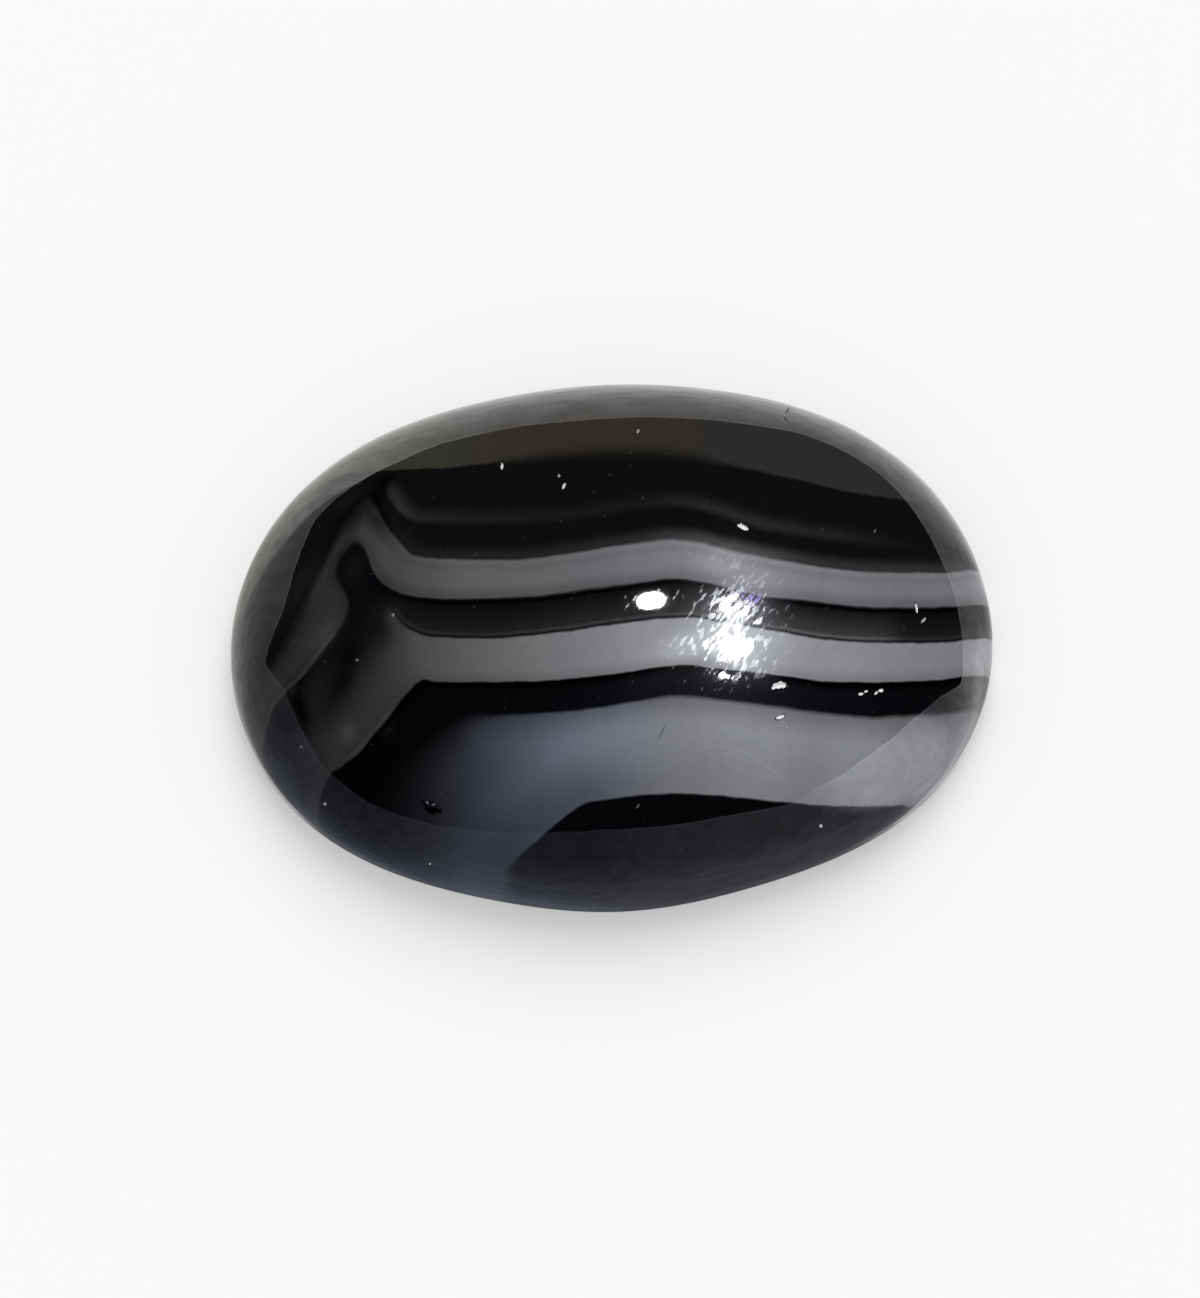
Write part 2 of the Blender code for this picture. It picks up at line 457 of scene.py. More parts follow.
# a point's place on the plan, shifted by the bands' lean where it lies below the dome
def planPlaces(points, form, lay):
    angles = np.arctan2(points[:, 1], points[:, 0])
    fitX, fitY = ovalFit(form)[1]
    radius = ovalRadius(angles, form) * np.hypot(fitX * np.cos(angles), fitY * np.sin(angles))
    share = np.clip(np.hypot(points[:, 0], points[:, 1]) / radius, 0.0, 1.0)
    girdle = form["girdleHeight"]
    dome = girdle + (form["height"] - girdle) * np.sqrt(1.0 - share ** 2)
    below = np.clip(dome + stoneLow.z - points[:, 2] - lay["leanStart"], 0.0, None)
    return points[:, :2] + below[:, None] * np.array(lay["lean"])


# 1 in a soft patch's middle, falling to 0 around it, on the plan
def cloudShare(plan, oval, tree):
    centre, longAxis, wideAxis = (axis.to_2d() for axis in ovalAxes(oval, tree))
    offset = plan - np.array(centre)
    along = offset @ np.array(longAxis) / longAxis.length_squared
    across = offset @ np.array(wideAxis) / wideAxis.length_squared
    return np.exp(-cloudFall * (along ** 2 + across ** 2))


def addAttribute(mesh, name, values):
    values = np.asarray(values, np.float32)
    kind, field = ("FLOAT_VECTOR", "vector") if values.ndim == 2 else ("FLOAT", "value")
    attribute = mesh.attributes.new(name, kind, "POINT")
    attribute.data.foreach_set(field, values.ravel())


def layBands(mesh, plan):
    for name, edge in bandEdges.items():
        distance, fade = edgeDistance(plan, edgeOnPlan(edge, stoneTree))
        addAttribute(mesh, name, np.stack((distance, distance / fade, 1.0 / fade), axis=1))


def layClouds(mesh, plan):
    pale, dark = np.zeros(len(plan)), np.ones(len(plan))
    for cloud in clouds.values():
        share = cloud["amount"] * cloudShare(plan, cloud["oval"], stoneTree)
        if cloud["amount"] > 0:
            pale += share
        else:
            dark *= 1.0 + share
    addAttribute(mesh, "paleClouds", pale)
    addAttribute(mesh, "darkClouds", dark)


# each point takes the painted glint and the painted shade of the pit that is nearest for its size
def layPits(mesh, points):
    reach = np.full(len(points), pitMesh["farthest"])
    paintedGlint, shade = np.zeros(len(points)), np.zeros(len(points))
    for pit, axes in zip(pits.values(), pitPlaces):
        far = pitReach(points, axes)
        nearer = far < reach
        reach[nearer] = far[nearer]
        paintedGlint[nearer] = pit["paintedGlint"]
        shade[nearer] = min(pit["depth"] / pitMesh["shadedDepth"], 1.0)
    addAttribute(mesh, "pitReach", reach)
    addAttribute(mesh, "pitPaintedGlint", paintedGlint)
    addAttribute(mesh, "pitShade", shade)


def layGrain(mesh, plan):
    grain = np.zeros(len(plan))
    for patch in grainPatches.values():
        share = patch["amount"] * cloudShare(plan, patch["oval"], stoneTree)
        grain = np.maximum(grain, share) if patch["amount"] > 0 else grain * (1.0 + share)
    addAttribute(mesh, "grain", grain)


def finishStone(bm):
    mesh = bpy.data.meshes.new("polished_agate")
    bm.to_mesh(mesh)
    mesh.shade_smooth()
    points = meshPoints(bm)
    bm.free()
    plan = planPlaces(points, stoneForm, bandLay)
    layBands(mesh, plan)
    layClouds(mesh, plan)
    layPits(mesh, points)
    layGrain(mesh, plan)
    piece = bpy.data.objects.new("polished_agate", mesh)
    bpy.context.scene.collection.objects.link(piece)
    return piece


stone = finishStone(stoneMesh)
print("bands laid on the stone")


# agate: colours are given as the stone reflects them, with painted light in the tones along the stone,
# and painted shade and glints in the pits

agateLook = {
    "black": (0.0036, 0.0040, 0.0042),
    "deepBlack": (0.0022, 0.0024, 0.0033),
    "line": (0.0005, 0.0005, 0.0007),
    "brownLeft": (0.0307, 0.0296, 0.0242),
    "brownMiddle": (0.0272, 0.0232, 0.0192),
    "brownRight": (0.0215, 0.0224, 0.0240),
    "greyLimb": (1.04, 1.01, 0.98),
    "greyWarm": (1.0, 0.99, 1.03),
    "greyCool": (0.97, 1.0, 1.07),
    "betweenTint": (0.85, 0.92, 1.23),
    "thirdLeft": (0.86, 0.94, 1.22),
    "thirdRight": (0.965, 1.0, 1.06),
    "paleTint": (1.0, 1.0, 1.02),
    "dustTint": (1.0, 1.0, 1.0),
    # pale colour painted into the pits as their glints
    "paintedGlint": (0.80, 0.80, 0.82),

    # tones along the stone, from its left end (0) to its right end (1). besides the bands' own tone they
    # hold painted light: paler near the sparkle and at the right rim, darker towards the left end
    "stripPale": (
        (0.0, 0.0), (0.206, 0.0), (0.218, 0.018), (0.25, 0.011), (0.35, 0.0070), (0.45, 0.0045),
        (0.52, 0.0045), (0.585, 0.010), (0.66, 0.014), (0.74, 0.012), (0.82, 0.006), (0.90, 0.001),
        (1.0, 0.0),
    ),
    "foreglowPale": (
        (0.0, 0.0), (0.19, 0.0), (0.22, 0.003), (0.27, 0.008), (0.35, 0.010), (0.50, 0.014),
        (0.58, 0.030), (0.66, 0.048), (0.75, 0.024), (0.85, 0.022), (1.0, 0.016),
    ),
    "greyOnePale": (
        (0.0, 0.022), (0.13, 0.026), (0.15, 0.027), (0.172, 0.039), (0.182, 0.050), (0.205, 0.055),
        (0.225, 0.059), (0.27, 0.082), (0.33, 0.106), (0.42, 0.120), (0.48, 0.136), (0.535, 0.165),
        (0.60, 0.185), (0.70, 0.187), (0.80, 0.178), (0.88, 0.160), (0.955, 0.172), (0.975, 0.225),
        (1.0, 0.235),
    ),
    "innerPale": (
        (0.0, 0.004), (0.15, 0.0065), (0.20, 0.0065), (0.25, 0.010), (0.35, 0.012), (0.45, 0.019),
        (0.55, 0.026), (0.70, 0.040), (0.80, 0.047), (0.86, 0.022), (0.89, 0.010), (0.95, 0.010),
        (1.0, 0.020),
    ),
    "greyTwoPale": (
        (0.0, 0.012), (0.12, 0.024), (0.16, 0.031), (0.19, 0.031), (0.215, 0.036), (0.235, 0.046),
        (0.25, 0.064), (0.271, 0.080), (0.30, 0.096), (0.35, 0.124), (0.42, 0.170), (0.48, 0.210),
        (0.56, 0.275), (0.64, 0.290), (0.78, 0.262), (0.86, 0.225), (0.95, 0.212), (0.975, 0.290),
        (1.0, 0.310),
    ),
    "betweenPale": (
        (0.0, 0.0012), (0.25, 0.0018), (0.35, 0.0024), (0.48, 0.0036), (0.58, 0.0080), (0.66, 0.0080),
        (0.75, 0.0050), (0.90, 0.0032), (1.0, 0.0040),
    ),
    "greyThreePale": (
        (0.0, 0.003), (0.22, 0.005), (0.27, 0.016), (0.30, 0.030), (0.35, 0.064), (0.40, 0.112),
        (0.45, 0.172), (0.50, 0.208), (0.56, 0.232), (0.62, 0.262), (0.69, 0.292), (0.75, 0.264),
        (0.79, 0.282), (0.83, 0.274), (0.86, 0.240), (0.90, 0.226), (1.0, 0.220),
    ),
    "thirdLowerShade": (
        (0.0, 1.0), (0.26, 0.98), (0.31, 0.76), (0.35, 0.54), (0.40, 0.52), (0.46, 0.52), (0.52, 0.66),
        (0.60, 0.82), (0.70, 0.86), (0.80, 0.94), (1.0, 0.96),
    ),

    # where along the stone one colour turns into the next, or a line begins
    "brownTurns": ((0.2, 0.45), (0.5, 0.8)),
    "greyTurn": (0.25, 0.6),
    "limbTurn": (0.16, 0.20),
    "thirdTurn": (0.40, 0.62),
    "paleLineStart": (0.2, 0.24),
    "blackLineStart": (0.20, 0.27),
    "crescentReach": (0.665, 0.07, 0.04),    # its middle, then how far out it ends and begins to fade

    # shades beside the edges, in pixels that count downwards from the edge: where they begin and
    # where they are full, and the share they add to the tone. a line has its middle and its half
    # width instead
    "stripRise": (-26.0, -4.0),
    "foreglowRise": (-22.0, -4.0),
    "greyOneLine": (8.0, 6.0, -0.12),
    "greyOneFoot": (-16.0, -3.0, -0.30),
    "blackLine": (3.5, 3.0),
    "innerLeast": 8.0,                       # narrower black pales as if it were this wide
    "innerPower": 1.3,                       # above 1 it pales late
    "innerPaleLine": (-4.6, 2.8, 1.1),
    "innerDarkLine": (-1.6, 2.0, -0.75),
    "greyTwoFoot": (-13.0, -2.0, -0.20),
    "betweenRise": (1.0, 10.0),
    "thirdHead": (28.0, -4.0, -0.44),
    "thirdFoot": (-58.0, -4.0),
    "crescentLine": (1.0, 2.2, 0.10),

    # pale lower edge of the limbs left of the fold: the line, where it begins along the stone
    # and across it, and how much it adds
    "limbLine": (-3.0, 4.0),
    "greyOneLimb": ((0.155, 0.14), (0.2 * mm, -1.0 * mm), 0.013),
    "greyTwoLimb": ((0.235, 0.21), (-3.8 * mm, -3.3 * mm), 0.016),

    # unevenness: a scale is in blotches to the metre
    "wander": {"scale": 2600.0, "amount": 2.6},          # of the edges, in pixels
    "fineMottle": {"scale": 5200.0, "amount": 0.16, "detail": 2.0},
    "broadMottle": {"scale": 900.0, "amount": 0.16},
    "pitRag": {"scale": 9000.0, "amount": 1.1},
    "ringGaps": {"scale": 5000.0, "detail": 1.0},
    "ringGapEdge": (0.36, 0.56),
    "dustGrains": {"scale": 8000.0, "detail": 0.0},
    "dustEdge": (0.83, 0.87),
    "dust": 0.018,

    # a pit's dark ring of painted shade and its painted glint, by distance from the pit with 1 at its
    # edge
    "ringEdge": (1.45, 1.0),
    "ringWhole": (1.1, 0.9),
    "paintedGlintEdge": (0.95, 0.75),

    # polish: smooth but for the ground back and a worn patch that sparkles
    "ior": 1.54,
    "roughness": 0.035,
    "backRoughness": 0.40,
    "backHeights": (0.12 * mm, 0.30 * mm),               # from ground to polished
    # share by which the worn patch round the sparkle is paler: painted glow of the lamps' light there
    "wornPatchGlow": 0.45,
    "wornEdge": (0.0, 0.5),
    "streaks": {"scale": 9500.0, "detail": 1.0, "stretch": (2.4, 1.0, 1.0), "turn": 57},
    "streakGrain": 0.30,                                 # how much likelier they are in the worn patch
    "streakEdge": (0.655, 0.80),
    "grainRoughness": 0.16,
    "hazeRoughness": 0.065,
    "haze": 0.30,
    "coatRoughness": 0.25,
    "waves": {"scale": 5500.0, "amount": 1.0, "detail": 1.0, "stretch": (2.2, 1.0, 1.0), "turn": 57},
    "waveHeight": 0.011 * mm,
    "ripple": 0.04,                                      # share of the waves all over the stone
}


def addNode(tree, kind, **settings):
    node = tree.nodes.new(kind)
    for name, value in settings.items():
        setattr(node, name, value)
    return node


def feed(tree, socket, value):
    if isinstance(value, bpy.types.NodeSocket):
        tree.links.new(value, socket)
    elif hasattr(value, "__len__") and len(value) == 3 and socket.type == "RGBA":
        socket.default_value = (*value, 1.0)
    else:
        socket.default_value = value


def maths(tree, operation, first, second=0.0, clamp=False):
    node = addNode(tree, "ShaderNodeMath", operation=operation, use_clamp=clamp)
    feed(tree, node.inputs[0], first)
    feed(tree, node.inputs[1], second)
    return node.outputs[0]


def add(tree, first, second):
    return maths(tree, "ADD", first, second)


def subtract(tree, first, second):
    return maths(tree, "SUBTRACT", first, second)


def multiply(tree, first, *others):
    for other in others:
        first = maths(tree, "MULTIPLY", first, other)
    return first


# a value raised by a share of itself where the mask is 1, or lowered if the share is negative
def adjust(tree, value, mask, share):
    return multiply(tree, value, add(tree, 1.0, multiply(tree, mask, share)))


# 0 to 1 as the value goes from low to high
def ramp(tree, value, low, high, smooth=True):
    node = addNode(tree, "ShaderNodeMapRange", interpolation_type="SMOOTHSTEP" if smooth else "LINEAR")
    feed(tree, node.inputs["Value"], value)
    feed(tree, node.inputs["From Min"], low)
    feed(tree, node.inputs["From Max"], high)
    return node.outputs["Result"]


# a smooth peak of height 1 at a distance, in pixels, from an edge
def peak(tree, distance, centre, halfWidth):
    off = maths(tree, "ABSOLUTE", subtract(tree, distance, centre))
    return ramp(tree, off, halfWidth, 0.0)


def mixColor(tree, share, under, over, blend="MIX"):
    node = addNode(tree, "ShaderNodeMix", data_type="RGBA", blend_type=blend)
    feed(tree, node.inputs[0], share)
    feed(tree, node.inputs[6], under)
    feed(tree, node.inputs[7], over)
    return node.outputs[2]


def scaleColor(tree, color, amount):
    node = addNode(tree, "ShaderNodeVectorMath", operation="SCALE")
    feed(tree, node.inputs[0], color)
    feed(tree, node.inputs["Scale"], amount)
    return node.outputs[0]


# a colour with a tint's light added to it
def addLight(tree, color, tint, amount):
    return mixColor(tree, 1.0, color, scaleColor(tree, tint, amount), "ADD")


def readAttribute(tree, name, output="Fac"):
    return addNode(tree, "ShaderNodeAttribute", attribute_name=name).outputs[output]


def splitVector(tree, vector):
    node = addNode(tree, "ShaderNodeSeparateXYZ")
    feed(tree, node.inputs[0], vector)
    return node.outputs["X"], node.outputs["Y"], node.outputs["Z"]


# a value drawn along the stone's length. the band tones drawn this way hold painted light along the stone
def alongStone(tree, across, points):
    node = addNode(tree, "ShaderNodeFloatCurve")
    curve = node.mapping.curves[0]
    top = max(value for place, value in points) * 1.05   # the curve is drawn between 0 and 1
    for place, value in points[1:-1]:
        curve.points.new(place, value / top)
    curve.points[0].location = (points[0][0], points[0][1] / top)
    curve.points[-1].location = (points[-1][0], points[-1][1] / top)
    node.mapping.update()
    feed(tree, node.inputs["Value"], across)
    return multiply(tree, node.outputs["Value"], top)


def noise(tree, place, scale, detail=3.0, stretch=None, turn=0.0):
    if stretch:
        mapping = addNode(tree, "ShaderNodeMapping", vector_type="TEXTURE")
        feed(tree, mapping.inputs["Vector"], place)
        mapping.inputs["Rotation"].default_value[2] = math.radians(turn)
        mapping.inputs["Scale"].default_value = stretch
        place = mapping.outputs["Vector"]
    node = addNode(tree, "ShaderNodeTexNoise")
    feed(tree, node.inputs["Vector"], place)
    feed(tree, node.inputs["Scale"], scale)
    feed(tree, node.inputs["Detail"], detail)
    return node.outputs["Fac"]


# noise that swings to both sides of 0
def swing(tree, place, amount, **settings):
    return multiply(tree, subtract(tree, noise(tree, place, **settings), 0.5), amount)


# what the bands share: a point's place, how far along the stone it lies, its distance from each
# edge in pixels, and whether it is below that edge (1), above it (0) or in its fade
def readStone(tree, look):
    place = addNode(tree, "ShaderNodeTexCoord").outputs["Object"]
    x, y, z = splitVector(tree, place)
    here = {"place": place, "y": y, "z": z, "far": {}, "below": {}}
    here["across"] = ramp(tree, x, stoneLow.x, stoneHigh.x, smooth=False)
    wiggle = swing(tree, place, **look["wander"])        # so that no band looks ruled
    for name in bandEdges:
        distance, depth, sharpness = splitVector(tree, readAttribute(tree, name, "Vector"))
        here["far"][name] = add(tree, distance, wiggle)
        depth = add(tree, depth, multiply(tree, wiggle, sharpness))
        here["below"][name] = ramp(tree, depth, -1.0, 1.0)
    return here


def between(tree, here, top, bottom):
    return multiply(tree, here["below"][top], subtract(tree, 1.0, here["below"][bottom]))


# shades a tone beside an edge, from one distance to another
def shadeBeside(tree, tone, distance, shade):
    start, end, share = shade
    return adjust(tree, tone, ramp(tree, distance, start, end), share)


# draws a paler or darker line along an edge, where the mask lets it
def drawLine(tree, tone, distance, line, mask=1.0):
    centre, halfWidth, share = line
    return adjust(tree, tone, multiply(tree, peak(tree, distance, centre, halfWidth), mask), share)


# brown top, the black under it with a faint strip, and the glow before the first grey band
def brownTop(tree, look, here):
    across, far, below = here["across"], here["far"], here["below"]
    left, right = look["brownTurns"]
    brown = mixColor(tree, ramp(tree, across, *left), look["brownLeft"], look["brownMiddle"])
    brown = mixColor(tree, ramp(tree, across, *right), brown, look["brownRight"])
    color = mixColor(tree, below["brownEdge"], brown, look["black"])
    rise = ramp(tree, far["stripEdge"], *look["stripRise"])
    strip = multiply(tree, rise, rise, subtract(tree, 1.0, below["stripEdge"]))
    strip = multiply(tree, strip, alongStone(tree, across, look["stripPale"]), below["brownEdge"])
    rise = ramp(tree, far["greyOneTop"], *look["foreglowRise"])
    glow = multiply(tree, rise, rise, alongStone(tree, across, look["foreglowPale"]), below["stripEdge"])
    return addLight(tree, color, look["greyWarm"], add(tree, strip, glow))


# a narrow grey band's colour, with the pale lower edge of its limb
def greyColor(tree, look, here, tone, tint, edge, limb):
    turn, fade, amount = limb
    line = peak(tree, here["far"][edge], *look["limbLine"])
    line = multiply(tree, line, ramp(tree, here["across"], *turn), ramp(tree, here["y"], *fade), amount)
    return addLight(tree, scaleColor(tree, tint, tone), look["greyWarm"], line)


def firstBand(tree, look, here, color):
    across, far = here["across"], here["far"]
    tone = alongStone(tree, across, look["greyOnePale"])
    tone = drawLine(tree, tone, far["greyOneTop"], look["greyOneLine"])
    tone = shadeBeside(tree, tone, far["greyOneBottom"], look["greyOneFoot"])
    tint = mixColor(tree, ramp(tree, across, *look["greyTurn"]), look["greyWarm"], look["greyCool"])
    tint = mixColor(tree, ramp(tree, across, *look["limbTurn"]), look["greyLimb"], tint)
    grey = greyColor(tree, look, here, tone, tint, "greyOneBottom", look["greyOneLimb"])
    return mixColor(tree, between(tree, here, "greyOneTop", "greyOneBottom"), color, grey)


# black between the narrow grey bands: it pales downwards, and ends in a pale and a dark line
def innerBlack(tree, look, here, color):
    across, far = here["across"], here["far"]
    width = subtract(tree, far["greyOneBottom"], far["greyTwoTop"])
    width = maths(tree, "MAXIMUM", width, look["innerLeast"])
    part = maths(tree, "DIVIDE", far["greyOneBottom"], width, clamp=True)
    part = maths(tree, "POWER", part, look["innerPower"])
    tone = multiply(tree, alongStone(tree, across, look["innerPale"]), part)
    mask = ramp(tree, across, *look["paleLineStart"])
    tone = drawLine(tree, tone, far["greyTwoTop"], look["innerPaleLine"], mask)
    tone = drawLine(tree, tone, far["greyTwoTop"], look["innerDarkLine"], mask)
    inner = addLight(tree, look["deepBlack"], look["greyWarm"], tone)
    color = mixColor(tree, between(tree, here, "greyOneBottom", "greyTwoTop"), color, inner)
    line = peak(tree, far["greyOneBottom"], *look["blackLine"])
    line = multiply(tree, line, ramp(tree, across, *look["blackLineStart"]))
    return mixColor(tree, line, color, look["line"])


def secondBand(tree, look, here, color):
    across, far = here["across"], here["far"]
    tone = alongStone(tree, across, look["greyTwoPale"])
    tone = shadeBeside(tree, tone, far["greyTwoBottom"], look["greyTwoFoot"])
    tint = mixColor(tree, ramp(tree, across, *look["greyTurn"]), look["greyWarm"], look["greyCool"])
    grey = greyColor(tree, look, here, tone, tint, "greyTwoBottom", look["greyTwoLimb"])
    color = mixColor(tree, between(tree, here, "greyTwoTop", "greyTwoBottom"), color, grey)
    tone = alongStone(tree, across, look["betweenPale"])
    tone = multiply(tree, tone, ramp(tree, far["greyTwoBottom"], *look["betweenRise"]))
    black = scaleColor(tree, look["betweenTint"], tone)  # the black under the band
    return mixColor(tree, between(tree, here, "greyTwoBottom", "greyThreeTop"), color, black)


# broad third band, darker along both edges, with a faint crescent in it
def thirdBand(tree, look, here, color):
    across, far = here["across"], here["far"]
    tone = alongStone(tree, across, look["greyThreePale"])
    tone = shadeBeside(tree, tone, far["greyThreeTop"], look["thirdHead"])
    share = subtract(tree, alongStone(tree, across, look["thirdLowerShade"]), 1.0)
    tone = adjust(tree, tone, ramp(tree, far["greyThreeBottom"], *look["thirdFoot"]), share)
    middle, end, start = look["crescentReach"]
    mask = ramp(tree, maths(tree, "ABSOLUTE", subtract(tree, across, middle)), end, start)
    tone = drawLine(tree, tone, far["crescent"], look["crescentLine"], mask)
    tint = mixColor(tree, ramp(tree, across, *look["thirdTurn"]), look["thirdLeft"], look["thirdRight"])
    grey = scaleColor(tree, tint, tone)
    color = mixColor(tree, between(tree, here, "greyThreeTop", "greyThreeBottom"), color, grey)
    return mixColor(tree, here["below"]["greyThreeBottom"], color, look["deepBlack"])


# soft patches, a slight mottling all over, painted glow that pales the worn patch round the sparkle, and
# fine dust
def unevenColor(tree, look, here, grain, color):
    place = here["place"]
    color = addLight(tree, color, look["paleTint"], readAttribute(tree, "paleClouds"))
    fine, broad = swing(tree, place, **look["fineMottle"]), swing(tree, place, **look["broadMottle"])
    mottle = add(tree, 1.0, add(tree, fine, broad))
    mottle = multiply(tree, mottle, readAttribute(tree, "darkClouds"))
    worn = ramp(tree, grain, *look["wornEdge"], smooth=False)
    color = scaleColor(tree, color, adjust(tree, mottle, worn, look["wornPatchGlow"]))
    dust = ramp(tree, noise(tree, place, **look["dustGrains"]), *look["dustEdge"])
    return addLight(tree, color, look["dustTint"], multiply(tree, dust, look["dust"]))


# pits have a ragged edge, a dark ring of painted shade with gaps in it, and a painted glint inside
def pitColor(tree, look, here, color):
    place = here["place"]
    reach = add(tree, readAttribute(tree, "pitReach"), swing(tree, place, **look["pitRag"]))
    gaps = ramp(tree, noise(tree, place, **look["ringGaps"]), *look["ringGapEdge"])
    ring = maths(tree, "MAXIMUM", gaps, ramp(tree, reach, *look["ringWhole"]))
    ring = multiply(tree, ramp(tree, reach, *look["ringEdge"]), ring, readAttribute(tree, "pitShade"))
    color = scaleColor(tree, color, subtract(tree, 1.0, ring))
    paintedGlint = multiply(tree, ramp(tree, reach, *look["paintedGlintEdge"]), readAttribute(tree, "pitPaintedGlint"))
    return mixColor(tree, paintedGlint, color, look["paintedGlint"])


# roughness: ground back, fine streaks and a haze in the worn patch, and polish elsewhere
def polishRoughness(tree, look, here, grain):
    low, high = look["backHeights"]
    back = subtract(tree, 1.0, ramp(tree, here["z"], stoneLow.z + low, stoneLow.z + high))
    back = multiply(tree, back, look["backRoughness"])
    streaks = noise(tree, here["place"], **look["streaks"])
    streaks = add(tree, streaks, multiply(tree, grain, look["streakGrain"]))
    rough = multiply(tree, ramp(tree, streaks, *look["streakEdge"]), look["grainRoughness"])
    rough = add(tree, rough, multiply(tree, grain, look["hazeRoughness"]))
    return add(tree, add(tree, look["roughness"], rough), back)


def waveNormal(tree, look, here, grain):
    height = swing(tree, here["place"], **look["waves"])
    bump = addNode(tree, "ShaderNodeBump")
    feed(tree, bump.inputs["Strength"], 1.0)
    feed(tree, bump.inputs["Distance"], look["waveHeight"])
    feed(tree, bump.inputs["Height"], multiply(tree, height, add(tree, grain, look["ripple"])))
    return bump.outputs["Normal"]


def makeAgate(look):
    material = bpy.data.materials.new("banded_agate")
    material.use_nodes = True
    tree = material.node_tree
    shader = tree.nodes["Principled BSDF"]
    here = readStone(tree, look)
    grain = readAttribute(tree, "grain")
    color = brownTop(tree, look, here)
    for layBand in (firstBand, innerBlack, secondBand, thirdBand):
        color = layBand(tree, look, here, color)
    color = unevenColor(tree, look, here, grain, color)
    feed(tree, shader.inputs["Base Color"], pitColor(tree, look, here, color))
    feed(tree, shader.inputs["Roughness"], polishRoughness(tree, look, here, grain))
    feed(tree, shader.inputs["Normal"], waveNormal(tree, look, here, grain))
    feed(tree, shader.inputs["IOR"], look["ior"])
    feed(tree, shader.inputs["Coat Weight"], multiply(tree, grain, look["haze"]))
    feed(tree, shader.inputs["Coat Roughness"], look["coatRoughness"])
    return material


stone.data.materials.append(makeAgate(agateLook))
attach(stone, "root")
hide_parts("agate_cabochon")
print("agate finished")


# floor and light: a pale matte floor, pale sky light and one broad lamp from behind the stone.
# the polish mirrors a room of its own: the lit paper around the stone, dark above it, with
# a dim front, and small lamps that show as glints

floorLook = {
    "radius": 1.2,
    "sides": 96,
    "color": (0.58, 0.58, 0.58),
    "roughness": 1.0,
    "glow": (0.34, 0.34, 0.34),          # the paper is lit from under it too, so shadows on it stay soft
}
skyLight = {
    "backdrop": (0.947, 0.947, 0.947),   # what the camera sees past the floor
    "sky": (0.60, 0.60, 0.60),           # what lights the scene from all round
}
broadLamp = {"azimuth": 80, "elevation": 52, "spread": 40, "power": 1.80}
glintLamps = (
    {"name": "glint_lamp", "place": (0.0304, 0.0779, 0.2927), "size": (0.0222, 0.0312), "radiance": 60,
     "color": (1.0, 1.0, 0.99)},
    {"name": "sparkle_upper", "place": (0.0950, 0.0697, 0.2792), "size": (0.013, 0.014), "radiance": 600,
     "color": (0.90, 0.93, 1.0)},
    {"name": "sparkle_middle", "place": (0.0958, 0.0042, 0.2894), "size": (0.034, 0.011), "radiance": 420,
     "color": (0.90, 0.93, 1.0)},
    {"name": "sparkle_lower", "place": (0.0892, -0.0441, 0.2883), "size": (0.008, 0.012), "radiance": 110,
     "color": (0.90, 0.93, 1.0)},
    {"name": "sparkle_fringe", "place": (0.1110, 0.0887, 0.2698), "size": (0.010, 0.008), "radiance": 26,
     "color": (0.50, 0.36, 1.0)},
)
